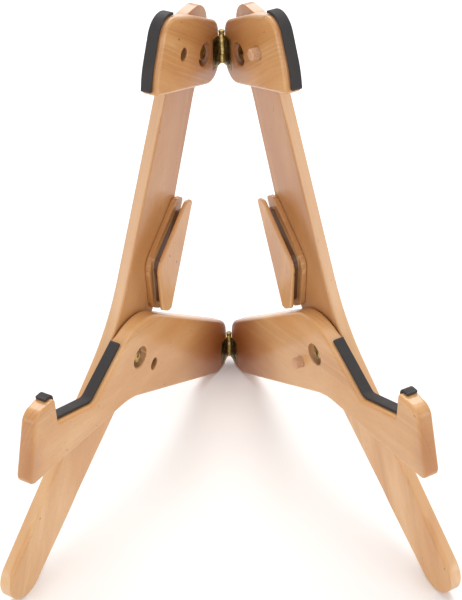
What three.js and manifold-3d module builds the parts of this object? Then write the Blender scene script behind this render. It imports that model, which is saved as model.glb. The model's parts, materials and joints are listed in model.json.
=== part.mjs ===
// A folding wooden instrument stand: two mirror-image halves hinged together in a V.
// Each half is a long leg with a yoke pivoted at its top, a cradle arm pivoted at its middle
// and a grooved spacer block between them. Millimetres, +Z up, front towards -Y.
import * as THREE from 'three';
import { mergeVertices } from 'three/addons/utils/BufferGeometryUtils.js';
import Module from 'manifold-3d';

// ---- driving dimensions ----
const HALF_ANGLE = THREE.MathUtils.degToRad(27.35); // each half's turn away from straight ahead
const FACE_SETBACK = 0.4;      // inner face of a board, out from the plane through the hinge line
const BOARD = 12.9;            // yoke, arm and spacer thickness
const PIVOT_GAP = 1.1;         // between a board and the leg behind it
const LEG = 9.8;               // leg thickness
const BOARD_END = 2.9;         // rear end of the hinged boards, forward of the hinge line
const TOUCH = 0.3;             // gap kept between parts that meet
const CURVE_STEPS = 9;         // straight pieces in each rounded corner
const ROUND_SIDES = 28;        // sides of turned and drilled shapes

const PAD_WIDTH = 8.9;         // rubber strips, flush with the outer face
const PAD_THICK = 2.3;

const YOKE_PIVOT = [25.8, 326.8];
const ARM_PIVOT = [148.5, 119];
const YOKE_PEG = [57.9, 342.2];
const ARM_PEG = [129.2, 96.7];
const RECESS = { radius: 9, depth: 5.4 };
const PEG = { radius: 4.6, stickOut: 7, buried: 7, chamfer: 1.2 };
const PEG_HOLE = { radius: 5.1, depth: 8.2 };

const SLEEVE = { radius: 4.2, bore: 3, flange: 8, flangeThick: 1.3, chamfer: 0.5, blindEnd: 1.6 };
const BOLT = {
  head: 5.6, headThick: 2.6, chamfer: 0.7, shank: 2.7, socket: 1.6, socketDeep: 1.5, endGap: 2.4,
};
const WASHER = { radius: 8.5, thick: 0.5 };

const HINGE = {
  length: 25, barrel: 1.9, pin: 1, leaf: 1.2, reach: 14.5, head: 2.5, headTall: 2.4, headChamfer: 0.6,
};
const LOWER_HINGE_BASE = 4.6;
const TOP_HINGE_BASE = 308;
const KNUCKLE_ENDS = [0, 0.3, 0.7, 1];   // share of the hinge length
const KNUCKLE_MOUTH = [[0.9, 1.5], [-2.6, 3.2], [-3.4, 0], [-3, -1.4], [0.9, -1.4]];
const LEAF_FACE = FACE_SETBACK - 0.15;   // a leaf stands this little proud of the wood
const SCREW = {
  head: 2.5, rim: 0.2, headDeep: 1.3, shank: 1.2, point: 1.5, length: 9, at: 9.6, spread: 7.4, play: 0.15,
};
const SPACER_SCREW = { head: 4, headDeep: 2.4, sunk: 0.4, shank: 2, tip: 7.5, point: 1.5 };
const THROUGH = 60;            // reach of a tool that cuts right through a board

const GROOVE = { flange: 2.8, width: 6.6, overlap: 0.2 };
const SPACER_SCREWS = [[79, 192], [98, 158]];

// ---- outlines: [forward of hinge line, height, corner radius] ----
// The foot dips just under the floor, where it is cut flat.
const LEG_OUTLINE = [
  [-14.4, 357.3, 16.5], [36.5, 357.3, 24], [155.8, 149.2, 150],
  [335.5, 28.4, 19], [314.7, -7.65, 21], [112.1, 104.7, 190],
];
const YOKE_WOOD = [
  [BOARD_END, 292.2, 15], [99.4, 327.8, 3], [96.4, 343.5, 60],
  [78.5, 381, 15], [38, 363.9, 120], [BOARD_END, 344.6, 12],
];
const ARM_WOOD = [
  [BOARD_END, 0, 7], [23, 0, 20], [166.6, 89.8, 80], [304.5, 117.3, 7],
  [287, 167.5, 9], [280.2, 171.5, 9], [261.6, 168.6, 2.5], [261.6, 145.6, 1],
  [215.3, 124.4, 9], [140.4, 159.3, 52], [BOARD_END, 47.2, 20],
];
const SPACER_OUTLINE = [
  [53.6, 211.8, 3], [64, 215.8, 6], [111.8, 181.6, 14], [110.3, 138.5, 7], [101, 131.2, 4], [96.3, 131.2, 2],
];
// The middle of a spacer, which its groove leaves, is set back at the front and at both ends.
const SPACER_CORE = [
  [58.6, 203, 1], [67, 206.6, 2], [106.3, 179.3, 12], [105, 142, 5], [99.5, 135.2, 2], [94.9, 135.2, 1],
];

// The line that each rubber strip follows on the wood, end to end: [forward, height, radius].
const YOKE_PAD_LINE = [[64, 374.9, 0], [78.5, 381, 15], [96.4, 343.5, 60], [98.9, 330.4, 0]];
const ARM_PAD_LINE = [
  [168.8, 146.1, 0], [215.3, 124.4, 9], [261.6, 145.6, 3], [261.6, 168.6, 2.5], [268.6, 169.7, 0],
];

const FINISH = {
  wood: { color: 0xd4a87d, roughness: 0.5, metalness: 0 },
  rubber: { color: 0x3e3a3b, roughness: 0.85, metalness: 0 },
  brass: { color: 0x9a7a3c, roughness: 0.35, metalness: 1 },
  steel: { color: 0x9b9b98, roughness: 0.4, metalness: 1 },
  nylon: { color: 0xe6e2d8, roughness: 0.6, metalness: 0 },
};

// ---- solid joining and cutting ----
const wasm = await Module();
wasm.setup();

function toSolid(geometry) {
  const bare = geometry.clone();
  bare.deleteAttribute('normal');
  bare.deleteAttribute('uv');
  const merged = mergeVertices(bare, 1e-4);
  const triVerts = fullTriangles(merged.index.array);
  const vertProperties = new Float32Array(merged.attributes.position.array);
  const solid = new wasm.Manifold(new wasm.Mesh({ numProp: 3, vertProperties, triVerts }));
  if (solid.volume() > 0) return solid;
  return new wasm.Manifold(new wasm.Mesh({ numProp: 3, vertProperties, triVerts: triVerts.reverse() }));
}

// Leaves out the triangles that close up to a line on a turned shape's axis.
function fullTriangles(index) {
  const kept = [];
  for (let i = 0; i < index.length; i += 3) {
    const [a, b, c] = index.slice(i, i + 3);
    if (a !== b && b !== c && c !== a) kept.push(a, b, c);
  }
  return new Uint32Array(kept);
}

function toGeometry(solid) {
  const mesh = solid.getMesh();
  const geometry = new THREE.BufferGeometry();
  geometry.setAttribute('position', new THREE.BufferAttribute(mesh.vertProperties, 3));
  geometry.setIndex(new THREE.BufferAttribute(mesh.triVerts, 1));
  geometry.computeVertexNormals();
  return geometry;
}

function cut(geometry, tools) {
  let solid = toSolid(geometry);
  for (const tool of tools) solid = solid.subtract(toSolid(tool));
  return toGeometry(solid);
}

function join(geometries) {
  let solid = toSolid(geometries[0]);
  for (const other of geometries.slice(1)) solid = solid.add(toSolid(other));
  return toGeometry(solid);
}

// ---- flat shapes ----
function cornerRound(before, corner, after) {
  const [x, y, radius] = corner;
  const at = new THREE.Vector2(x, y);
  const back = new THREE.Vector2(before[0], before[1]).sub(at).normalize();
  const ahead = new THREE.Vector2(after[0], after[1]).sub(at).normalize();
  if (!radius) return [at];
  const half = Math.acos(THREE.MathUtils.clamp(back.dot(ahead), -1, 1)) / 2;
  const reach = radius / Math.tan(half);
  const start = at.clone().addScaledVector(back, reach);
  const middle = back.clone().add(ahead).normalize();
  const centre = at.clone().addScaledVector(middle, radius / Math.sin(half));
  const from = start.clone().sub(centre);
  const turn = (Math.PI - 2 * half) * Math.sign(back.cross(ahead)) * -1;
  const points = [];
  for (let i = 0; i <= CURVE_STEPS; i++) {
    points.push(from.clone().rotateAround(new THREE.Vector2(), turn * i / CURVE_STEPS).add(centre));
  }
  return points;
}

function roundedPoints(outline) {
  const count = outline.length;
  return outline.flatMap((corner, i) =>
    cornerRound(outline[(i + count - 1) % count], corner, outline[(i + 1) % count]));
}

function roundedLine(line) {
  return line.flatMap((corner, i) => {
    const isEnd = i === 0 || i === line.length - 1;
    if (isEnd) return [new THREE.Vector2(corner[0], corner[1])];
    return cornerRound(line[i - 1], corner, line[i + 1]);
  });
}

// Shifts a line of points sideways, to its left, by a distance.
function offsetLine(points, distance) {
  return points.map((point, i) => {
    const before = points[Math.max(i - 1, 0)];
    const after = points[Math.min(i + 1, points.length - 1)];
    const inDir = point.clone().sub(before).normalize();
    const outDir = after.clone().sub(point).normalize();
    if (i === 0) inDir.copy(outDir);
    if (i === points.length - 1) outDir.copy(inDir);
    const along = inDir.clone().add(outDir).normalize();
    const stretch = 1 / Math.max(along.dot(inDir), 0.3);
    return new THREE.Vector2(-along.y, along.x).multiplyScalar(distance * stretch).add(point);
  });
}

// ---- shapes in the frame of one half: x forward, y up, z across (away from the other half) ----
// side is 1 for the left half and -1 for the right, whose z runs the other way.
function slab(points, from, thick, side) {
  const shape = new THREE.Shape(points);
  const geometry = new THREE.ExtrudeGeometry(shape, { depth: thick, bevelEnabled: false });
  return geometry.translate(0, 0, side > 0 ? from : -from - thick);
}

// A turned shape about an axis across the board: profile is [across, radius] from one end to the other.
function turned(profile, [x, y], side, sides = ROUND_SIDES) {
  const corners = profile.map(([across, radius]) => new THREE.Vector2(radius, across));
  const lathe = new THREE.LatheGeometry(corners, sides);
  lathe.rotateX(Math.PI / 2);
  if (side < 0) lathe.rotateX(Math.PI);
  return lathe.translate(x, y, 0);
}

function plug(radius, from, to, at, side, sides) {
  return turned([[from, 0], [from, radius], [to, radius], [to, 0]], at, side, sides);
}

const legFace = FACE_SETBACK + BOARD + PIVOT_GAP;

function pivotHole(at, side) {
  return [
    plug(RECESS.radius, -1, FACE_SETBACK + RECESS.depth, at, side),
    plug(SLEEVE.radius + TOUCH, 0, legFace, at, side),
  ];
}

function screwHoles(hinge, side) {
  return screwPlaces(hinge).map((at) =>
    plug(SCREW.shank + TOUCH, 0, FACE_SETBACK + SCREW.length + TOUCH, at, side, 12));
}

function screwPlaces(base) {
  const middle = base + HINGE.length / 2;
  return [[SCREW.at, middle + SCREW.spread], [SCREW.at, middle - SCREW.spread]];
}

function leafPocket(base, side) {
  const long = HINGE.reach + TOUCH;
  const deep = FACE_SETBACK + HINGE.leaf + TOUCH;   // from the plane through the hinge line
  const pocket = new THREE.BoxGeometry(long, HINGE.length + 2 * TOUCH, 2 * deep);
  return pocket.translate(long / 2, base + HINGE.length / 2, 0);
}

function pegSeat(at, side) {
  const isHole = side > 0;
  const radius = isHole ? PEG_HOLE.radius : PEG.radius + TOUCH;
  const depth = isHole ? PEG_HOLE.depth : PEG.buried + TOUCH;
  return plug(radius, -1, FACE_SETBACK + depth, at, side);
}

// ---- wooden pieces ----
function legShape(side) {
  const leg = slab(roundedPoints(LEG_OUTLINE), legFace, LEG, side);
  const floorCut = new THREE.BoxGeometry(400, 40, 200).translate(200, -20, 0);
  const holes = [YOKE_PIVOT, ARM_PIVOT].map((at) => plug(SLEEVE.radius + TOUCH, 0, THROUGH, at, side));
  const headSeat = legFace + LEG - SPACER_SCREW.sunk - SPACER_SCREW.headDeep - TOUCH;
  const screws = SPACER_SCREWS.flatMap((at) => [
    plug(SPACER_SCREW.shank + TOUCH, 0, THROUGH, at, side, 12),
    plug(SPACER_SCREW.head + TOUCH, headSeat, THROUGH, at, side, 20),
  ]);
  return cut(leg, [floorCut, ...holes, ...screws]);
}

function yokeShape(side) {
  const yoke = slab(roundedPoints(YOKE_WOOD), FACE_SETBACK, BOARD, side);
  const cuts = [...pivotHole(YOKE_PIVOT, side), pegSeat(YOKE_PEG, side), leafPocket(TOP_HINGE_BASE, side)];
  return cut(yoke, [...cuts, ...screwHoles(TOP_HINGE_BASE, side)]);
}

function armShape(side) {
  const arm = slab(roundedPoints(ARM_WOOD), FACE_SETBACK, BOARD, side);
  const cuts = [...pivotHole(ARM_PIVOT, side), pegSeat(ARM_PEG, side), leafPocket(LOWER_HINGE_BASE, side)];
  return cut(arm, [...cuts, ...screwHoles(LOWER_HINGE_BASE, side)]);
}

function spacerShape(side) {
  const grooveStart = FACE_SETBACK + GROOVE.flange;
  const lipStart = grooveStart + GROOVE.width;
  const outline = roundedPoints(SPACER_OUTLINE);
  const layers = [
    slab(outline, FACE_SETBACK, GROOVE.flange, side),
    slab(roundedPoints(SPACER_CORE), grooveStart - GROOVE.overlap, GROOVE.width + 2 * GROOVE.overlap, side),
    slab(outline, lipStart, legFace - TOUCH - lipStart, side),
  ];
  const holes = SPACER_SCREWS.map((at) =>
    plug(SPACER_SCREW.shank + TOUCH, SPACER_SCREW.tip - 2, THROUGH, at, side, 12));
  return cut(join(layers), holes);
}

function pegShape(at) {
  const out = FACE_SETBACK - PEG.stickOut;
  const inner = FACE_SETBACK + PEG.buried;
  return turned([[out, 0], [out, PEG.radius - PEG.chamfer], [out + PEG.chamfer, PEG.radius],
    [inner, PEG.radius], [inner, 0]], at, -1, 24);
}

// ---- rubber strips ----
function padShape(line, side) {
  const under = offsetLine(roundedLine(line), TOUCH);
  const over = offsetLine(roundedLine(line), TOUCH + PAD_THICK);
  return slab([...under, ...over.reverse()], FACE_SETBACK + BOARD - PAD_WIDTH, PAD_WIDTH, side);
}

// ---- brass and steel ----
function sleeveShape(at, side) {
  const start = FACE_SETBACK + RECESS.depth + 2 * TOUCH;
  const seat = legFace + LEG + TOUCH;
  const end = seat + SLEEVE.flangeThick;
  const boreEnd = end - SLEEVE.blindEnd;
  return turned([
    [start, SLEEVE.bore], [start, SLEEVE.radius], [seat, SLEEVE.radius], [seat, SLEEVE.flange],
    [end, SLEEVE.flange - SLEEVE.chamfer], [end, 0],
    [boreEnd, 0], [boreEnd, SLEEVE.bore], [start, SLEEVE.bore],
  ], at, side);
}

function boltShape(at, side) {
  const seat = FACE_SETBACK + RECESS.depth - TOUCH;
  const top = seat - BOLT.headThick;
  const tip = legFace + LEG - BOLT.endGap;
  const body = turned([[top, 0], [top, BOLT.head - BOLT.chamfer], [top + BOLT.chamfer, BOLT.head],
    [seat, BOLT.head], [seat, BOLT.shank], [tip, BOLT.shank], [tip, 0]], at, side);
  const socket = plug(BOLT.socket, top - 1, top + BOLT.socketDeep, at, side, 6);
  return cut(body, [socket]);
}

function washerShape(at, side) {
  const from = FACE_SETBACK + BOARD + TOUCH;
  return turned([[from, SLEEVE.radius + TOUCH], [from, WASHER.radius], [from + WASHER.thick, WASHER.radius],
    [from + WASHER.thick, SLEEVE.radius + TOUCH], [from, SLEEVE.radius + TOUCH]], at, side);
}

// A tube about the hinge line, from one height to another.
function upright(outer, inner, low, high) {
  const profile = inner
    ? [[inner, low], [outer, low], [outer, high], [inner, high], [inner, low]]
    : [[0, low], [outer, low], [outer, high], [0, high]];
  return new THREE.LatheGeometry(profile.map(([radius, height]) => new THREE.Vector2(radius, height)), 20);
}

// The countersunk hole for a hinge screw.
function screwTool(at, side) {
  const head = SCREW.head + SCREW.play;
  const shank = SCREW.shank + SCREW.play;
  const end = LEAF_FACE + SCREW.headDeep + HINGE.leaf;
  return turned([[LEAF_FACE - 1, 0], [LEAF_FACE - 1, head], [LEAF_FACE + SCREW.rim, head],
    [LEAF_FACE + SCREW.headDeep, shank], [end, shank], [end, 0]], at, side, 16);
}

// The left leaf carries the two end knuckles and the right leaf the middle one.
function leafShape(base, side, openKnuckle) {
  const bands = side > 0 ? [[0, 1], [2, 3]] : [[1, 2]];
  const shy = TOUCH / 2;
  const plate = new THREE.BoxGeometry(HINGE.reach, HINGE.length, HINGE.leaf);
  plate.translate(HINGE.reach / 2, base + HINGE.length / 2, side * (LEAF_FACE + HINGE.leaf / 2));
  const heights = bands.map(([low, high]) => [
    base + HINGE.length * KNUCKLE_ENDS[low] + (low ? shy : 0),
    base + HINGE.length * KNUCKLE_ENDS[high] - (high < 3 ? shy : 0)]);
  const knuckles = heights.map(([low, high]) => upright(HINGE.barrel, 0, low, high));
  const clear = freeBands(base, heights).map(([low, high]) =>
    upright(HINGE.barrel + TOUCH, 0, low, high));
  const pinHole = upright(HINGE.pin + TOUCH, 0, base - 1, base + HINGE.length + 1);
  const holes = screwPlaces(base).map((at) => screwTool(at, side));
  const trimmed = cut(plate, clear);
  const tools = openKnuckle ? [pinHole, knuckleMouth(base, side), ...holes] : [pinHole, ...holes];
  return cut(join([trimmed, ...knuckles]), tools);
}

// The heights of the hinge where the other leaf's knuckles turn.
function freeBands(base, own) {
  const edges = [base, ...own.flat(), base + HINGE.length];
  const bands = [];
  for (let i = 0; i < edges.length; i += 2) bands.push([edges[i], edges[i + 1]]);
  return bands.filter(([low, high]) => high - low > TOUCH);
}

// Opens a knuckle on the side where the pin leaves it.
function knuckleMouth(base, side) {
  const mouth = new THREE.Shape(KNUCKLE_MOUTH.map(([x, y]) => new THREE.Vector2(x, y * -side)));
  const block = new THREE.ExtrudeGeometry(mouth, { depth: HINGE.length + 2, bevelEnabled: false });
  block.rotateX(-Math.PI / 2);
  return block.translate(0, base - 1, 0);
}

function pinShape(base) {
  const seat = base + HINGE.length + TOUCH;
  const top = seat + HINGE.headTall;
  const profile = [[0, base], [HINGE.pin, base], [HINGE.pin, seat], [HINGE.head, seat],
    [HINGE.head, top - HINGE.headChamfer], [HINGE.head - HINGE.headChamfer, top], [0, top]];
  return new THREE.LatheGeometry(profile.map(([radius, height]) => new THREE.Vector2(radius, height)), 20);
}

function hingeScrewShape(at, side) {
  const head = SCREW.head - SCREW.play;
  const shank = SCREW.shank - SCREW.play;
  return turned([[LEAF_FACE, 0], [LEAF_FACE, head], [LEAF_FACE + SCREW.rim, head],
    [LEAF_FACE + SCREW.headDeep, shank], [SCREW.length - SCREW.point, shank],
    [SCREW.length, 0]], at, side, 12);
}

function spacerScrewShape(at, side) {
  const { head, headDeep, sunk, shank, tip, point } = SPACER_SCREW;
  const top = legFace + LEG - sunk;
  const profile = [[tip, 0], [tip + point, shank], [top - headDeep, shank], [top, head], [top, 0]];
  return turned(profile, at, side, 12);
}

// ---- assembly ----
const stand = new THREE.Group();

function halfGroup(side) {
  const group = new THREE.Group();
  const forward = new THREE.Vector3(-side * Math.sin(HALF_ANGLE), -Math.cos(HALF_ANGLE), 0);
  const up = new THREE.Vector3(0, 0, 1);
  const across = forward.clone().cross(up);
  group.quaternion.setFromRotationMatrix(new THREE.Matrix4().makeBasis(forward, up, across));
  stand.add(group);
  return group;
}

function addPiece(group, name, geometry, finish) {
  const closed = toGeometry(toSolid(geometry));
  const mesh = new THREE.Mesh(closed, new THREE.MeshStandardMaterial(FINISH[finish]));
  mesh.name = name;
  group.add(mesh);
}

function addPivot(group, name, at, side) {
  addPiece(group, `${name}_pivot_sleeve`, sleeveShape(at, side), 'brass');
  addPiece(group, `${name}_pivot_bolt`, boltShape(at, side), 'brass');
  addPiece(group, `${name}_pivot_washer`, washerShape(at, side), 'nylon');
}

function addLeaf(group, hinge, word, base, side) {
  const isOpenPivot = hinge === 'lower' && side < 0;
  addPiece(group, `${hinge}_hinge_${word}_leaf`, leafShape(base, side, isOpenPivot), 'brass');
  screwPlaces(base).forEach((at, i) =>
    addPiece(group, `${hinge}_hinge_${word}_screw_${i + 1}`, hingeScrewShape(at, side), 'brass'));
}

function addHalf(word, side) {
  const group = halfGroup(side);
  addPiece(group, `${word}_leg`, legShape(side), 'wood');
  addPiece(group, `${word}_yoke`, yokeShape(side), 'wood');
  addPiece(group, `${word}_arm`, armShape(side), 'wood');
  addPiece(group, `${word}_spacer`, spacerShape(side), 'wood');
  SPACER_SCREWS.forEach((at, i) =>
    addPiece(group, `${word}_spacer_screw_${i + 1}`, spacerScrewShape(at, side), 'steel'));
  addPiece(group, `${word}_yoke_pad`, padShape(YOKE_PAD_LINE, side), 'rubber');
  addPiece(group, `${word}_arm_pad`, padShape(ARM_PAD_LINE, side), 'rubber');
  addPivot(group, `${word}_yoke`, YOKE_PIVOT, side);
  addPivot(group, `${word}_arm`, ARM_PIVOT, side);
  addLeaf(group, 'top', word, TOP_HINGE_BASE, side);
  addLeaf(group, 'lower', word, LOWER_HINGE_BASE, side);
  return group;
}

const leftHalf = addHalf('left', 1);
const rightHalf = addHalf('right', -1);
addPiece(leftHalf, 'top_hinge_pin', pinShape(TOP_HINGE_BASE), 'brass');
addPiece(leftHalf, 'lower_hinge_pin', pinShape(LOWER_HINGE_BASE), 'brass');
addPiece(rightHalf, 'yoke_peg', pegShape(YOKE_PEG), 'wood');
addPiece(rightHalf, 'arm_peg', pegShape(ARM_PEG), 'wood');

// The origin is on the floor, under the middle of the whole stand.
const bounds = new THREE.Box3().setFromObject(stand);
stand.position.y = -(bounds.min.y + bounds.max.y) / 2;
stand.updateMatrixWorld(true);

export default stand;
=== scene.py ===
"""Looks for the folding stand: rounded wooden boards, rubber strips, worn brass hinges.

Lengths in the named values are millimetres, and the scene is in metres. Each half of the
stand is drawn in its own panel frame: x forward from the hinge line, y up, z outward.
"""

import json
import math

import bmesh
import bpy
from mathutils import Matrix, Vector

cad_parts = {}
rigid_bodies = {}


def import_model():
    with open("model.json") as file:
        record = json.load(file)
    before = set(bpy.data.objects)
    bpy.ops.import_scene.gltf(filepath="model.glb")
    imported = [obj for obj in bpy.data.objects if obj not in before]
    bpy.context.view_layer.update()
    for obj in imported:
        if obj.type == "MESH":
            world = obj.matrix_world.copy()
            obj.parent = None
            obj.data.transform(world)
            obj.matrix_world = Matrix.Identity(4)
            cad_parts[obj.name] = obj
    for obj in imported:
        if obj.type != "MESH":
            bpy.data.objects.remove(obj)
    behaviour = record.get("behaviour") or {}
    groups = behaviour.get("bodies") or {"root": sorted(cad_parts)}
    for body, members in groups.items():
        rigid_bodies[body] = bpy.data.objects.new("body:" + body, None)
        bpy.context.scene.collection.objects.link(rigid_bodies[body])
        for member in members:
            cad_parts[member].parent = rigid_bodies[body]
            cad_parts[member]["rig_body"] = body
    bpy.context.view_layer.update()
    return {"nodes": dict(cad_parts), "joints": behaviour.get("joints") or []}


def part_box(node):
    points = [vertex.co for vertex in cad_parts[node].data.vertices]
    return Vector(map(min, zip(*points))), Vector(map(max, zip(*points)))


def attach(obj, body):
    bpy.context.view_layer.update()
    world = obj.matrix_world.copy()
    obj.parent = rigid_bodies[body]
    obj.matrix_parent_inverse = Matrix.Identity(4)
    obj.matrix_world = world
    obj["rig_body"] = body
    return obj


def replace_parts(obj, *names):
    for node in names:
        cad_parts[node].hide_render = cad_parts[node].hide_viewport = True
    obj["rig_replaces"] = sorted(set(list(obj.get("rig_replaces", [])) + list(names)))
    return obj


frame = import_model()
MM = 0.001

# ---- driving sizes, in mm ----
SKIN = 0.03              # how far a rounded board lies inside its CAD board
OUTLINE_STEP = 4.0       # longest straight piece of an outline
ROUND_STEPS = 6          # layers in a rounded edge
BOARD_ROUND = 2.6        # edges of yokes and arms
PAD_EDGE_ROUND = 0.8     # wooden edge under a rubber strip's outer side
SPACER_ROUND, SPACER_OUTER_ROUND = 1.6, 0.3
LEG_OUTER_ROUND = 1.2
LEG_SQUARE_ROUND = 0.9   # where the router cut has stopped
LEG_FRONT_ROUND = 5.4
LEG_REAR_ROUND = 2.2
LEG_CUT_HEIGHTS = (34, 291)   # the long router cut on a leg's front edge
LEG_CUT_RUNOUT = 5
LEG_FRONT_LINE = (372, 1.08)  # front edges lie above this height less this share of forward
UNDER_PAD = (1.0, 7.0)        # an edge is as under the strip up to the first, own past the last
RECESS_RADIUS, RECESS_CHAMFER = 9.0, 0.8
PEG_HOLE_RADIUS, PEG_HOLE_CHAMFER = 5.1, 0.6
BOARD_FACE = 0.4         # the inner face of the hinged boards, outward
SPACER_GROOVE = (3.2, 9.8)            # its two walls, outward
SPACER_REAR = (0.884, 0.468, 146.5)   # its rear edge: shares of forward and height, and sum
PAD_ROUND, PAD_STEP = 0.75, 1.6       # PAD_STEP is the longest piece of a strip's outline
PEG_RADIUS, PEG_TIP, FLUTES, FLUTE_DEEP = 4.6, 1.2, 20, 0.45
FLUTE_SIDES = 6          # straight pieces to a flute
TURNED_SIDES = 48
METAL_BEVEL, BEVEL_STEPS = 0.18, 2
JOIN_DISTANCE = 1e-6     # metres
FLOOR_SIZE = 8.0         # metres

# ---- edges sharper than these angles stay sharp, in degrees ----
WOOD_SHARP, PEG_SHARP, SOFT_SHARP, BEVEL_SHARP = 32, 40, 50, 40

# ---- where each half lies ----
SIDES = {"left": 1, "right": -1}


def half_angle():
    swing = next(j for j in frame["joints"] if j["name"] == "yoke_swing")
    return math.atan2(abs(swing["axis"][1]), abs(swing["axis"][0]))


def hinge_line():
    low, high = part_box("top_hinge_pin")
    return (low + high) / 2


def panel_matrix(side):
    """Panel frame to the stand's frame, both in metres."""
    turn, line = half_angle(), hinge_line()
    forward = Vector((-side * math.sin(turn), -math.cos(turn), 0))
    outward = Vector((-side * math.cos(turn), math.sin(turn), 0))
    rows = [(*pair, 0) for pair in zip(forward, (0, 0, 1), outward)]
    matrix = Matrix([r[:3] for r in rows]).to_4x4()
    matrix.translation = (line.x, line.y, 0)
    return matrix


PANEL = {word: panel_matrix(side) for word, side in SIDES.items()}


def in_panel(word, point):
    return PANEL[word].inverted() @ point


def middle_in_panel(word, node):
    low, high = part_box(node)
    return in_panel(word, (low + high) / 2) / MM


# ---- reading outlines from the frame ----
def flat_edges(node, word, outer):
    """The directed edges round a board's outer or inner flat face, in panel mm."""
    mesh = frame["nodes"][node].data
    corners = [in_panel(word, v.co) / MM for v in mesh.vertices]
    pick = max if outer else min
    level = pick(c.z for c in corners)
    key = lambda c: (round(c.x, 3), round(c.y, 3))
    edges = set()
    for face in mesh.polygons:
        ring = [corners[i] for i in face.vertices]
        if all(abs(c.z - level) < 0.01 for c in ring):
            keys = [key(c) for c in ring]
            edges.update((a, b) for a, b in zip(keys, keys[1:] + keys[:1]) if a != b)
    return {(a, b) for a, b in edges if (b, a) not in edges}, level


def signed_area(points):
    return sum(a[0] * b[1] - b[0] * a[1] for a, b in zip(points, points[1:] + points[:1])) / 2


def outline(node, word, outer=True):
    """The outer loop of a board's flat face, anticlockwise, and the face's place outward."""
    edges, level = flat_edges(node, word, outer)
    following = dict(edges)
    loops = []
    while following:
        start = next(iter(following))
        loop, at = [start], following.pop(start)
        while at != start and at in following:
            loop.append(at)
            at = following.pop(at)
        loops.append(loop)
    longest = max(loops, key=lambda loop: abs(signed_area(loop)))
    return (longest if signed_area(longest) > 0 else longest[::-1]), level


def split_long(points, step=OUTLINE_STEP):
    """The same outline with more points on its long sides."""
    finer = []
    for a, b in zip(points, points[1:] + points[:1]):
        parts = max(1, math.ceil(math.dist(a, b) / step))
        finer += [tuple(p + (q - p) * i / parts for p, q in zip(a, b)) for i in range(parts)]
    return finer


def inward(points):
    """For each corner of an anticlockwise outline, the shift that moves its sides in by one."""
    shifts = []
    for before, at, after in zip(points[-1:] + points[:-1], points, points[1:] + points[:1]):
        a = (Vector(at) - Vector(before)).normalized()
        b = (Vector(after) - Vector(at)).normalized()
        along = (a + b).normalized()
        shifts.append(Vector((-along.y, along.x)) / max(along.dot(a), 0.5))
    return shifts


# ---- building meshes ----
def new_object(name, mesh):
    thing = bpy.data.objects.new(name, mesh)
    bpy.context.scene.collection.objects.link(thing)
    return thing


def object_from(name, corners, faces, matrix=None):
    mesh = bpy.data.meshes.new(name)
    mesh.from_pydata([Vector(c) * MM for c in corners], [], faces)
    if matrix is not None:
        mesh.transform(matrix)
        if matrix.determinant() < 0:
            mesh.flip_normals()
    return new_object(name, mesh)


def layered(name, rings, matrix):
    """A closed solid through rings of corners, all of one length, with flat ends."""
    count = len(rings[0])
    corners = [c for ring in rings for c in ring]
    faces = [list(range(count))[::-1], [len(corners) - count + i for i in range(count)]]
    for k in range(len(rings) - 1):
        base = k * count
        for i in range(count):
            j = (i + 1) % count
            faces.append([base + i, base + j, base + count + j, base + count + i])
    return object_from(name, corners, faces, matrix)


def rounded_slab(name, points, low, high, low_round, high_round, matrix):
    """A slab with its edges rounded. Each radius is a function of a point of the outline."""
    shifts = inward(points)
    angles = [math.pi / 2 * i / ROUND_STEPS for i in range(ROUND_STEPS + 1)]

    def ring(level, direction, radius_at, angle):
        made = []
        for point, shift in zip(points, shifts):
            radius = radius_at(point)
            at = Vector(point) + shift * (SKIN + radius * (1 - math.sin(angle)))
            made.append((at.x, at.y, level + direction * (SKIN + radius * (1 - math.cos(angle)))))
        return made

    rings = [ring(low, 1, low_round, t) for t in angles]
    rings += [ring(high, -1, high_round, t) for t in reversed(angles)]
    return layered(name, rings, matrix)


def turned(name, profile, at, word, sides=TURNED_SIDES, wobble=None):
    """A turned solid across the panel: profile holds (outward, radius) from the inside out,
    and wobble, of the turn and the place outward, is taken off the radius."""
    rings = []
    for outward, radius in profile:
        ring = []
        for i in range(sides):
            t = 2 * math.pi * i / sides
            r = radius - (wobble(t, outward) if wobble else 0)
            ring.append((at.x + r * math.cos(t), at.y + r * math.sin(t), outward))
        rings.append(ring)
    return layered(name, rings, PANEL[word])


def merged_copy(node):
    """A copy of a CAD node's mesh with its split corners joined again."""
    copy = new_object(f"{node}_copy", frame["nodes"][node].data.copy())
    joined = bmesh.new()
    joined.from_mesh(copy.data)
    bmesh.ops.remove_doubles(joined, verts=joined.verts, dist=JOIN_DISTANCE)
    joined.to_mesh(copy.data)
    joined.free()
    return copy


def discard(thing):
    mesh = thing.data
    bpy.data.objects.remove(thing)
    bpy.data.meshes.remove(mesh)


def cut_with(thing, tool, operation):
    """Cuts thing with tool, or keeps what both fill, and removes the tool."""
    modifier = thing.modifiers.new("cut", "BOOLEAN")
    modifier.operation, modifier.object, modifier.solver = operation, tool, "MANIFOLD"
    bake_modifiers(thing)
    discard(tool)


def bake_modifiers(thing):
    graph = bpy.context.evaluated_depsgraph_get()
    made = bpy.data.meshes.new_from_object(thing.evaluated_get(graph))
    old = thing.data
    thing.modifiers.clear()
    thing.data = made
    bpy.data.meshes.remove(old)


def smooth(thing, angle):
    thing.data.shade_smooth()
    thing.data.set_sharp_from_angle(angle=math.radians(angle))
    weighted = thing.modifiers.new("normals", "WEIGHTED_NORMAL")
    weighted.keep_sharp = True
    weighted.weight = 80


def stand_for(thing, node, body, material):
    """Puts a finished piece in a CAD node's place."""
    thing.name = f"{node}_look"
    thing.data.materials.clear()
    thing.data.materials.append(material)
    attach(thing, body)
    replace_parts(thing, node)


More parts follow.
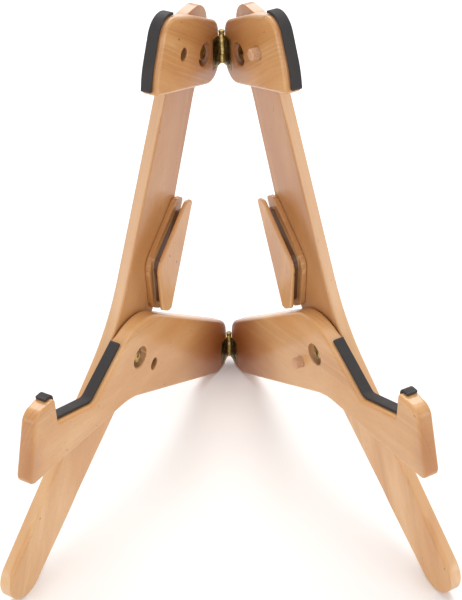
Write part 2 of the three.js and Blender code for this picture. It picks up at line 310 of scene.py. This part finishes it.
# ---- material building ----
class Shader:
    """A small helper that makes and joins shader nodes."""

    def __init__(self, name):
        self.material = bpy.data.materials.new(name)
        self.material.use_nodes = True
        self.tree = self.material.node_tree
        self.surface = self.tree.nodes["Principled BSDF"]

    def node(self, kind, settings=None, **inputs):
        made = self.tree.nodes.new(kind)
        for key, value in (settings or {}).items():
            setattr(made, key, value)
        for key, value in inputs.items():
            self.put(made.inputs[key.replace("_", " ")], value)
        return made

    def put(self, socket, value):
        if isinstance(value, bpy.types.NodeSocket):
            self.tree.links.new(value, socket)
        else:
            socket.default_value = value

    def looks(self, **inputs):
        """Sets or links the surface's own inputs."""
        for key, value in inputs.items():
            self.put(self.surface.inputs[key.replace("_", " ")], value)
        return self.material

    def math(self, operation, a, b=0.0, clamp=False):
        made = self.node("ShaderNodeMath", {"operation": operation, "use_clamp": clamp})
        for socket, value in zip(made.inputs, (a, b)):
            self.put(socket, value)
        return made.outputs[0]

    def plus(self, a, b):
        return self.math("ADD", a, b)

    def less(self, a, b):
        return self.math("SUBTRACT", a, b)

    def times(self, a, b):
        return self.math("MULTIPLY", a, b)

    def length(self, a, b):
        return self.math("SQRT", self.plus(self.math("POWER", a, 2.0), self.math("POWER", b, 2.0)))

    def vector_math(self, operation, a, b):
        made = self.node("ShaderNodeVectorMath", {"operation": operation})
        self.put(made.inputs[0], a)
        self.put(made.inputs[1], tuple(b))
        return made.outputs

    def dot(self, vector, direction):
        return self.vector_math("DOT_PRODUCT", vector, direction)["Value"]

    def away(self, vector, centre):
        return self.vector_math("DISTANCE", vector, centre)["Value"]

    def scaled(self, vector, scale):
        return self.vector_math("MULTIPLY", vector, scale)[0]

    def vector(self, x, y, z):
        return self.node("ShaderNodeCombineXYZ", X=x, Y=y, Z=z).outputs[0]

    def noise(self, vector, detail=2.0, rough=0.5):
        made = self.node("ShaderNodeTexNoise", Vector=vector, Scale=1.0, Detail=detail,
                         Roughness=rough)
        return made.outputs["Fac"]

    def step(self, value, low, high, start=0.0, end=1.0):
        """Runs smoothly from start to end as value goes from low to high."""
        made = self.node("ShaderNodeMapRange", {"interpolation_type": "SMOOTHSTEP"})
        for socket, number in zip(made.inputs, (value, low, high, start, end)):
            self.put(socket, number)
        return made.outputs[0]

    def mix(self, share, a, b):
        made = self.node("ShaderNodeMix", {"data_type": "RGBA"})
        self.put(made.inputs["Factor"], share)
        self.put(made.inputs["A"], rgba(a))
        self.put(made.inputs["B"], rgba(b))
        return made.outputs["Result"]

    def bump(self, height, strength, distance):
        return self.node("ShaderNodeBump", Height=height, Strength=strength,
                         Distance=distance * MM).outputs[0]

    def place(self):
        return self.node("ShaderNodeTexCoord").outputs["Object"]

    def facing(self):
        return self.node("ShaderNodeTexCoord").outputs["Normal"]

    def rubbed(self):
        """Above a half on outer edges, where a piece is rubbed."""
        return self.node("ShaderNodeNewGeometry").outputs["Pointiness"]


def rgba(colour):
    """A colour given as red, green and blue from 0 to 255, made linear. Sockets pass through."""
    if isinstance(colour, bpy.types.NodeSocket):
        return colour
    linear = [c / 255 / 12.92 if c <= 10 else ((c / 255 + 0.055) / 1.055) ** 2.4 for c in colour]
    return (*linear, 1.0)


# ---- lacquered wood ----
WOOD_LIGHT, WOOD_MID, WOOD_DEEP = (224, 180, 128), (209, 155, 97), (190, 125, 66)
# the third colour on the next line paints shade near the hinges, partly a warmer wood tone
WOOD_END, WOOD_LINE, WOOD_WARM_SHADE = (170, 106, 52), (150, 92, 46), (150, 80, 31)
# the second colour on the next line paints shade in holes and grooves
WOOD_SPECK, WOOD_HOLLOW_SHADE = (110, 60, 28), (66, 34, 18)
# a painted highlight on the legs' front edges
WOOD_EDGE_HIGHLIGHT = (226, 188, 148)
SEED_SHIFTS = (371, 97, 53)     # how far apart the boards lie in the grain, in mm
PITH = (-70, 60)                # middle of the tree, across and through the board, in mm
RING_GAP, RING_WANDER, RING_STRENGTH = 3.1, 14, 0.26
RING_EDGES = (0.5, 0.28)        # from the middle of a gap: where a dark ring starts and is full
RING_FADES = (0.4, 0.68)
TINT_SHARES = {"broad": 0.9, "cloud": 0.6, "fibre": 0.35}
MID_TINT, DEEP_TINT = (0.45, 0.85), (0.8, 1.2)
END_GRAIN = 0.75
END_SHARPNESS = 2.5
# the painted highlight on the legs' front edges: the facing where it starts and is full, and its
# strength
EDGE_HIGHLIGHT_FACING, EDGE_HIGHLIGHT_STRENGTH = (0.7, 0.95), 0.45
WARM_SHADE_CORE = 0.15                # share of a painted shade patch's reach that has its full strength
WARM_SHADE_LEVEL = 8                  # its centre, outward in mm
WARM_SHADE_DEPTHS = (3.0, 12.0)       # it fades between these places outward
WARM_SHADE_OUTSIDE = 0.35             # share of it that shows on a board's outer face; the painted shade is strongest on inner faces
# the way the legs' front edges face, in the panel frame, where a highlight is painted
LEG_FRONT_FACING = (0.87, 0.49, 0)

# Scale along, across and through the grain, to a mm, then detail and roughness.
PATTERNS = {
    "drift": ((0.006, 0.02, 0.02), 2, 0.5),
    "cloud": ((0.012, 0.03, 0.03), 3, 0.5),
    "fibre": ((0.06, 2.6, 2.6), 3, 0.6),
    "fleck": ((0.3, 1.7, 1.7), 2, 0.5),
    "pore": ((0.2, 0.95, 0.95), 1, 0.5),
    "speck": ((0.11, 0.3, 0.3), 1, 0.5),
    "streak": ((0.9, 0.5, 3.0), 2, 0.5),
}
# Dark marks: pattern, the levels where one starts and is full, strength and colour.
MARKS = [
    ("fleck", (0.62, 0.74), 0.24, WOOD_LINE),
    ("pore", (0.7, 0.76), 0.34, WOOD_LINE),
    ("speck", (0.76, 0.8), 0.65, WOOD_SPECK),
]


def panel_place(shader, word):
    """Places in mm in the panel frame: forward, height and outward."""
    place, matrix = shader.place(), PANEL[word]
    origin = matrix.translation
    axes = [matrix.to_3x3() @ Vector(unit) for unit in ((1, 0, 0), (0, 1, 0), (0, 0, 1))]
    return [shader.less(shader.dot(place, axis / MM), axis.dot(origin) / MM) for axis in axes]


def grain_space(shader, word, angle, seed):
    """Places in mm along the grain, across it in the board's face, and through the board."""
    turn = math.radians(angle)
    panel = PANEL[word].to_3x3()
    along = panel @ Vector((math.cos(turn), math.sin(turn), 0))
    across = panel @ Vector((-math.sin(turn), math.cos(turn), 0))
    through = panel @ Vector((0, 0, 1))
    place = shader.place()
    parts = [shader.plus(shader.dot(place, axis / MM), seed * shift)
             for axis, shift in zip((along, across, through), SEED_SHIFTS)]
    return parts, along


def pattern(shader, space, name):
    scale, detail, rough = PATTERNS[name]
    return shader.noise(shader.scaled(space, scale), detail, rough)


def from_pith(shader, space, across, through, seed):
    """The distance from the middle of the tree, in mm, with some wander."""
    wander = shader.times(pattern(shader, space, "drift"), RING_WANDER)
    sideways = shader.plus(shader.plus(across, -seed * SEED_SHIFTS[1] + PITH[0]), wander)
    return shader.length(sideways, shader.plus(through, -seed * SEED_SHIFTS[2] + PITH[1]))


def ring_share(shader, along, radius):
    """How dark the growth rings are."""
    rings = shader.math("FRACT", shader.math("DIVIDE", radius, RING_GAP))
    late = shader.step(shader.math("ABSOLUTE", shader.less(rings, 0.5)), *RING_EDGES)
    stretch = shader.vector(shader.times(along, 0.004), shader.times(radius, 0.09), 0.0)
    power = shader.step(shader.noise(stretch, 2), *RING_FADES)
    return shader.times(shader.times(late, power), RING_STRENGTH)


def tint_of(shader, space, along, radius, seed, fibre):
    """How deep the wood's colour is, from broad bands, clouds and fibres."""
    stretch = shader.vector(shader.times(along, 0.005), shader.times(radius, 0.055), seed * 3.1)
    broad = shader.times(shader.noise(stretch, 3, 0.55), TINT_SHARES["broad"])
    cloud = shader.times(pattern(shader, space, "cloud"), TINT_SHARES["cloud"])
    fine = shader.times(shader.less(fibre, 0.5), TINT_SHARES["fibre"])
    return shader.plus(shader.plus(broad, cloud), fine)


def end_share(shader, space, axis):
    """How much end grain shows: on faces that the fibres run into."""
    into = shader.math("ABSOLUTE", shader.dot(shader.facing(), axis))
    streaks = shader.plus(pattern(shader, space, "streak"), 0.25)
    end = shader.math("MULTIPLY", shader.math("POWER", into, END_SHARPNESS), streaks, clamp=True)
    return shader.times(end, END_GRAIN)


# painted shade, mostly near the hinges, strongest on a board's inner faces, partly a warmer tone
def warm_shade_share(shader, word, warm_shade):
    (x, y), reach, strength = warm_shade
    centre = PANEL[word] @ (Vector((x, y, WARM_SHADE_LEVEL)) * MM)
    away = shader.away(shader.place(), centre)
    share = shader.step(away, WARM_SHADE_CORE * reach * MM, reach * MM, strength, 0.0)
    outward = panel_place(shader, word)[2]
    return shader.times(share, shader.step(outward, *WARM_SHADE_DEPTHS, 1.0, WARM_SHADE_OUTSIDE))


def wood(name, word, angle, seed, warm_shade, hollow_shades, highlight_way):
    """Lacquered beech. Each shade patch given is (place in panel mm, reach in mm, strength) of
    painted shade, mostly near the hinges and on inner faces, partly a warmer wood tone, and each
    hollow shade given paints shade in a hole or groove. Edges that face the given way, in the
    panel frame, get a painted highlight: they are lighter."""
    shader = Shader(name)
    (along, across, through), axis = grain_space(shader, word, angle, seed)
    space = shader.vector(along, across, through)
    radius = from_pith(shader, space, across, through, seed)
    fibre = pattern(shader, space, "fibre")
    tint = tint_of(shader, space, along, radius, seed, fibre)
    colour = shader.mix(shader.step(tint, *MID_TINT), WOOD_LIGHT, WOOD_MID)
    colour = shader.mix(shader.step(tint, *DEEP_TINT), colour, WOOD_DEEP)
    colour = shader.mix(ring_share(shader, along, radius), colour, WOOD_LINE)
    marks = {}
    for mark, levels, strength, shade in MARKS:
        marks[mark] = shader.step(pattern(shader, space, mark), *levels)
        colour = shader.mix(shader.times(marks[mark], strength), colour, shade)
    # painted shade patches, partly a warmer wood tone
    for patch in warm_shade:
        colour = shader.mix(warm_shade_share(shader, word, patch), colour, WOOD_WARM_SHADE)
    colour = shader.mix(end_share(shader, space, axis), colour, WOOD_END)
    # a painted highlight on edges that face the given way
    if highlight_way:
        towards = shader.dot(shader.facing(), PANEL[word].to_3x3() @ Vector(highlight_way))
        edge = shader.step(towards, *EDGE_HIGHLIGHT_FACING, 0.0, EDGE_HIGHLIGHT_STRENGTH)
        colour = shader.mix(edge, colour, WOOD_EDGE_HIGHLIGHT)
    # painted shade in holes and grooves
    for darkened in hollow_shades:
        colour = shader.mix(darkened(shader, word), colour, WOOD_HOLLOW_SHADE)
    height = shader.less(shader.times(fibre, 0.7), shader.times(marks["fleck"], 0.5))
    return shader.looks(Base_Color=colour, Roughness=shader.step(fibre, 0.2, 0.8, 0.36, 0.52),
                        IOR=1.48, Coat_Weight=0.55, Coat_Roughness=0.2,
                        Normal=shader.bump(height, 0.35, 0.09))


def hole_shade(at, radius, strength):
    """Paints shade on the wall and floor of a round hole, most at its upper side."""
    def share(shader, word):
        forward, height, outward = panel_place(shader, word)
        dx, dy = shader.less(forward, at.x), shader.less(height, at.y)
        inside = shader.step(shader.length(dx, dy), radius + 0.2, radius + 0.8, 1.0, 0.0)
        deep = shader.step(outward, BOARD_FACE + 0.4, BOARD_FACE + 2.2)
        upper = shader.step(dy, -radius, radius * 0.5, 0.6, 1.0)
        return shader.times(shader.times(inside, deep), shader.times(upper, strength))
    return share


def groove_shade(strength):
    """Paints shade on the bottom of a spacer's groove, but not its plain rear edge."""
    low, high = SPACER_GROOVE
    forward_share, height_share, rear = SPACER_REAR

    def share(shader, word):
        forward, height, outward = panel_place(shader, word)
        above = shader.step(outward, low - 0.2, low + 0.7)
        below = shader.step(outward, high - 0.7, high + 0.2, 1.0, 0.0)
        across = shader.plus(shader.times(forward, forward_share),
                             shader.times(height, height_share))
        fronted = shader.step(across, rear + 0.6, rear + 2.2, 0.0, strength)
        return shader.times(shader.times(above, below), fronted)
    return share


# ---- the other materials ----
def dowel_material():
    shader = Shader("dowel")
    fibre = shader.noise(shader.scaled(shader.place(), (2500, 2500, 2500)), 2)
    colour = shader.mix(shader.step(fibre, 0.3, 0.7), (226, 186, 150), (184, 134, 98))
    return shader.looks(Base_Color=colour, Roughness=0.62, Normal=shader.bump(fibre, 0.4, 0.08))


def rubber_material():
    shader = Shader("rubber")
    place = shader.place()
    grit = shader.noise(shader.scaled(place, (3200, 3200, 3200)), 2, 0.6)
    dust = shader.noise(shader.scaled(place, (70, 70, 70)), 4, 0.6)
    gritty = shader.times(shader.step(grit, 0.58, 0.75), 0.3)
    colour = shader.mix(shader.step(dust, 0.4, 0.75), (45, 41, 41), (60, 54, 54))
    colour = shader.mix(gritty, colour, (98, 91, 90))
    colour = shader.mix(shader.step(shader.rubbed(), 0.52, 0.6, 0.0, 0.35), colour, (96, 89, 88))
    return shader.looks(Base_Color=colour, Roughness=shader.step(dust, 0.3, 0.7, 0.68, 0.86),
                        Normal=shader.bump(grit, 0.5, 0.12))


def metal_material(name, bright, dull, rough):
    """Metal with dull patches, and brighter where its edges are rubbed."""
    shader = Shader(name)
    place = shader.place()
    stain = shader.noise(shader.scaled(place, (160, 160, 160)), 5, 0.65)
    fine = shader.noise(shader.scaled(place, (2400, 2400, 700)), 2)
    colour = shader.mix(shader.step(stain, 0.36, 0.66), dull, bright)
    colour = shader.mix(shader.step(shader.rubbed(), 0.51, 0.6, 0.0, 0.75), colour, bright)
    return shader.looks(Base_Color=colour, Metallic=1.0,
                        Roughness=shader.step(stain, 0.3, 0.7, rough + 0.18, rough),
                        Normal=shader.bump(fine, 0.25, 0.05))


def leaf_material():
    """A hinge leaf: darkened flat brass, with the knuckles round the pin rubbed bright."""
    shader = Shader("leaf")
    place, line = shader.place(), hinge_line()
    level = shader.vector(shader.dot(place, (1, 0, 0)), shader.dot(place, (0, 1, 0)), 0.0)
    away = shader.away(level, (line.x, line.y, 0))
    knuckle = shader.step(away, 2.0 * MM, 2.5 * MM, 1.0, 0.0)
    stain = shader.noise(shader.scaled(place, (260, 260, 260)), 4, 0.6)
    flat = shader.mix(shader.step(stain, 0.35, 0.7), (84, 66, 36), (142, 117, 70))
    flat = shader.mix(shader.step(shader.rubbed(), 0.51, 0.6, 0.0, 0.8), flat, (206, 182, 122))
    barrel = shader.mix(shader.step(stain, 0.35, 0.65), (196, 168, 104), (236, 214, 156))
    return shader.looks(Base_Color=shader.mix(knuckle, flat, barrel), Metallic=1.0,
                        Roughness=shader.step(stain, 0.3, 0.7, 0.45, 0.3))


def nylon_material():
    shader = Shader("nylon")
    cloud = shader.noise(shader.scaled(shader.place(), (300, 300, 300)), 3)
    return shader.looks(Base_Color=shader.mix(cloud, (232, 228, 217), (214, 208, 194)),
                        Roughness=0.5, Subsurface_Weight=0.1, Subsurface_Scale=MM,
                        Normal=shader.bump(cloud, 0.1, 0.05))


RUBBER = rubber_material()
BRASS = metal_material("brass", (214, 180, 112), (92, 70, 36), 0.3)
LEAF = leaf_material()
PIN = metal_material("pin", (176, 152, 98), (110, 90, 52), 0.4)
SCREW = metal_material("screw", (112, 88, 50), (52, 38, 20), 0.42)
STEEL = metal_material("steel", (205, 205, 202), (120, 120, 118), 0.28)
NYLON = nylon_material()
DOWEL = dowel_material()


# ---- the wooden boards ----
def eased(value, low, high):
    t = min(max((value - low) / (high - low), 0.0), 1.0)
    return t * t * (3 - 2 * t)


def leg_board(word):
    node = f"{word}_leg"
    points, inner = outline(node, word, outer=False)
    points = split_long(points)
    outer = outline(node, word)[1]
    low_cut, high_cut = LEG_CUT_HEIGHTS

    def is_front(point):
        height, share = LEG_FRONT_LINE
        return point[1] > height - share * point[0]

    def inner_round(point):
        share = eased(point[1], low_cut - LEG_CUT_RUNOUT, low_cut + LEG_CUT_RUNOUT)
        share *= 1 - eased(point[1], high_cut - LEG_CUT_RUNOUT, high_cut + LEG_CUT_RUNOUT)
        full = LEG_FRONT_ROUND if is_front(point) else LEG_REAR_ROUND
        return LEG_SQUARE_ROUND + (full - LEG_SQUARE_ROUND) * share

    outer_round = lambda p: LEG_OUTER_ROUND
    board = rounded_slab(node, points, inner, outer, inner_round, outer_round, PANEL[word])
    cut_with(board, merged_copy(node), "INTERSECT")
    return board


def under_pad(point, strip):
    """Near 1 where the wood lies under a rubber strip, given by points of its outline."""
    return 1 - eased(min(math.dist(point, corner) for corner in strip), *UNDER_PAD)


def padded_board(word, kind):
    node = f"{word}_{kind}"
    points, outer = outline(node, word)
    points = split_long(points)
    inner = outline(node, word, outer=False)[1]
    strip = split_long(outline(f"{node}_pad", word)[0])

    def outer_round(point):
        return BOARD_ROUND + (PAD_EDGE_ROUND - BOARD_ROUND) * under_pad(point, strip)

    inner_round = lambda p: BOARD_ROUND
    board = rounded_slab(node, points, inner, outer, inner_round, outer_round, PANEL[word])
    cut_with(board, merged_copy(node), "INTERSECT")
    pivot = middle_in_panel(word, f"{node}_pivot_bolt")
    chamfer(board, word, pivot, inner, RECESS_RADIUS, RECESS_CHAMFER)
    if word == "left":
        peg = middle_in_panel("right", f"{kind}_peg")
        chamfer(board, word, peg, inner, PEG_HOLE_RADIUS, PEG_HOLE_CHAMFER)
    return board


def chamfer(board, word, at, face, radius, size):
    """Breaks the edge of a hole in a board's inner face."""
    profile = [(face - size, radius + 2 * size), (face + size, radius),
               (face + size + 0.5, radius * 0.9)]
    cut_with(board, turned("chamfer", profile, at, word), "DIFFERENCE")


def spacer_board(word):
    node = f"{word}_spacer"
    points, inner = outline(node, word, outer=False)
    outer = outline(node, word)[1]
    points = split_long(points)
    inner_round, outer_round = lambda p: SPACER_ROUND, lambda p: SPACER_OUTER_ROUND
    board = rounded_slab(node, points, inner, outer, inner_round, outer_round, PANEL[word])
    cut_with(board, merged_copy(node), "INTERSECT")
    return board


GRAIN = {"leg": -66, "yoke": 35, "arm": 15, "spacer": 82}   # degrees up from forward
# patches of painted shade, mostly near the hinges: place in panel mm, reach in mm and strength;
# partly a warmer wood tone
WARM_SHADE = {
    "leg": [((96, 190), 120, 1.0), ((24, 300), 140, 1.0)],
    "yoke": [((2, 322), 60, 0.7), ((30, 378), 56, 0.4)],
    "arm": [((2, 22), 105, 0.95), ((310, 138), 34, 0.55)],
    "spacer": [((82, 165), 60, 0.2)],
}
# strengths of the painted shade in the groove, the pivot recess and the peg hole
GROOVE_DARK, RECESS_DARK, PEG_HOLE_DARK = 0.85, 0.95, 0.7


def hollow_shades_in(word, kind):
    """The places on a board where shade is painted dark: in holes and grooves."""
    if kind == "spacer":
        return [groove_shade(GROOVE_DARK)]
    if kind == "leg":
        return []
    pivot = middle_in_panel(word, f"{word}_{kind}_pivot_bolt")
    made = [hole_shade(pivot, RECESS_RADIUS, RECESS_DARK)]
    if word == "left":
        peg = middle_in_panel("right", f"{kind}_peg")
        made.append(hole_shade(peg, PEG_HOLE_RADIUS, PEG_HOLE_DARK))
    return made


BUILD = {
    "leg": leg_board,
    "yoke": lambda word: padded_board(word, "yoke"),
    "arm": lambda word: padded_board(word, "arm"),
    "spacer": spacer_board,
}
for side_index, side_word in enumerate(SIDES):
    for kind_index, kind in enumerate(BUILD):
        piece = BUILD[kind](side_word)
        smooth(piece, WOOD_SHARP)
        seed = 1 + kind_index + 4.7 * side_index
        # the legs get a painted highlight on their front edges
        highlight_way = LEG_FRONT_FACING if kind == "leg" else None
        finish = wood(f"wood_{side_word}_{kind}", side_word, GRAIN[kind], seed, WARM_SHADE[kind],
                      hollow_shades_in(side_word, kind), highlight_way)
        body = f"{side_word}_leg" if kind == "spacer" else f"{side_word}_{kind}"
        stand_for(piece, f"{side_word}_{kind}", body, finish)


# ---- the rubber strips ----
def pad_strip(word, kind):
    node = f"{word}_{kind}_pad"
    points, outer = outline(node, word)
    inner = outline(node, word, outer=False)[1]
    points = split_long(points, PAD_STEP)
    soft = lambda p: PAD_ROUND
    return rounded_slab(node, points, inner, outer, soft, soft, PANEL[word])


for side_word in SIDES:
    for kind in ("yoke", "arm"):
        strip = pad_strip(side_word, kind)
        smooth(strip, SOFT_SHARP)
        stand_for(strip, f"{side_word}_{kind}_pad", f"{side_word}_{kind}", RUBBER)


# ---- the fluted pegs ----
def fluted_peg(kind):
    node = f"{kind}_peg"
    centre = middle_in_panel("right", node)
    corners = [in_panel("right", v.co).z / MM for v in frame["nodes"][node].data.vertices]
    tip, root = min(corners), max(corners)

    def flute(turn, outward):
        if outward <= tip + PEG_TIP * 0.8:
            return 0.0
        return FLUTE_DEEP * (0.5 + 0.5 * math.cos(FLUTES * turn))

    profile = [(tip, PEG_RADIUS - PEG_TIP), (tip + PEG_TIP * 0.5, PEG_RADIUS - PEG_TIP * 0.45),
               (tip + PEG_TIP, PEG_RADIUS), (root, PEG_RADIUS)]
    return turned(node, profile, centre, "right", FLUTES * FLUTE_SIDES, flute)


for kind in ("yoke", "arm"):
    peg = fluted_peg(kind)
    smooth(peg, PEG_SHARP)
    stand_for(peg, f"{kind}_peg", f"right_{kind}", DOWEL)


# ---- brass, steel and nylon ----
METAL = {"brass": BRASS, "steel": STEEL, "nylon": NYLON}


def finish_of(node, slot_name):
    if slot_name != "brass":
        return METAL[slot_name]
    if node.endswith("_leaf"):
        return LEAF
    if node.endswith("_pin"):
        return PIN
    return SCREW if "hinge" in node else BRASS


def broken_edges(node):
    """A CAD node's shape with its sharp edges slightly rounded."""
    thing = merged_copy(node)
    bevel = thing.modifiers.new("edges", "BEVEL")
    bevel.width, bevel.segments = METAL_BEVEL * MM, BEVEL_STEPS
    bevel.limit_method, bevel.angle_limit = "ANGLE", math.radians(BEVEL_SHARP)
    bake_modifiers(thing)
    smooth(thing, SOFT_SHARP)
    return thing


replaced = {n for o in bpy.data.objects for n in o.get("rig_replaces", [])}
for node, cad in sorted(frame["nodes"].items()):
    if node in replaced:
        continue
    slot_name = cad.data.materials[0].name.split(".")[0]
    finish = finish_of(node, slot_name)
    stand_for(broken_edges(node), node, cad["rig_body"], finish)


# ---- floor, light and camera ----
LIGHTS = [   # name, place, what it faces, side and power
    ("top_light", (0.1, 0.25, 1.9), (0, 0, 0.15), 1.6, 13),
    ("back_light", (0, 1.9, 1.5), (0, 0, 0.2), 1.4, 26),
    ("front_light", (-0.3, -1.9, 1.3), (0, 0, 0.2), 1.4, 6),
    ("left_light", (-1.45, -1.25, 0.75), (0, 0, 0.2), 0.9, 6),
    ("right_light", (1.45, -1.25, 0.75), (0, 0, 0.2), 0.9, 6),
]
SKY_STRENGTH = 0.62


def floor_material():
    shader = Shader("floor")
    return shader.looks(Base_Color=rgba((253, 253, 253)), Roughness=0.7, Specular_IOR_Level=0.1)


reach = FLOOR_SIZE / 2 / MM
corners = [(-reach, -reach, 0), (reach, -reach, 0), (reach, reach, 0), (-reach, reach, 0)]
floor = object_from("floor", corners, [[0, 1, 2, 3]])
floor.data.materials.append(floor_material())


def softbox(name, at, towards, size, power):
    light = bpy.data.lights.new(name, "AREA")
    light.shape, light.size, light.energy = "SQUARE", size, power
    lamp = new_object(name, light)
    lamp.location = at
    lamp.rotation_mode = "QUATERNION"
    lamp.rotation_quaternion = (Vector(towards) - Vector(at)).to_track_quat("-Z", "Y")


for lamp_values in LIGHTS:
    softbox(*lamp_values)

sky = bpy.data.worlds.new("studio")
sky.use_nodes = True
background = sky.node_tree.nodes["Background"]
background.inputs["Color"].default_value = (1.0, 1.0, 1.0, 1.0)
background.inputs["Strength"].default_value = SKY_STRENGTH
bpy.context.scene.world = sky
bpy.context.scene.view_settings.view_transform = "Standard"

CAMERA_FROM_HINGES = Vector((0.01135, -0.8966278, 0.789))
CAMERA_YAW, CAMERA_DOWN, CAMERA_ROLL = (math.radians(v) for v in (-0.5588, 38.7236, 1.2933))
CAMERA_LENS, CAMERA_WIDTH = 99.93, 36


def camera_turn():
    yaw, down, roll = CAMERA_YAW, CAMERA_DOWN, CAMERA_ROLL
    level = Vector((math.sin(yaw), math.cos(yaw), 0)) * math.cos(down)
    ahead = level - Vector((0, 0, math.sin(down)))
    right = Vector((math.cos(yaw), -math.sin(yaw), 0))
    below = ahead.cross(right)
    rolled_right = right * math.cos(roll) + below * math.sin(roll)
    rolled_below = below * math.cos(roll) - right * math.sin(roll)
    return Matrix((rolled_right, -rolled_below, -ahead)).transposed()


eye = bpy.data.cameras.new("camera")
eye.sensor_fit, eye.sensor_width, eye.lens = "HORIZONTAL", CAMERA_WIDTH, CAMERA_LENS
camera = new_object("camera", eye)
hinges = hinge_line()
eye_at = CAMERA_FROM_HINGES + Vector((hinges.x, hinges.y, 0))
camera.matrix_world = Matrix.Translation(eye_at) @ camera_turn().to_4x4()
bpy.context.scene.camera = camera
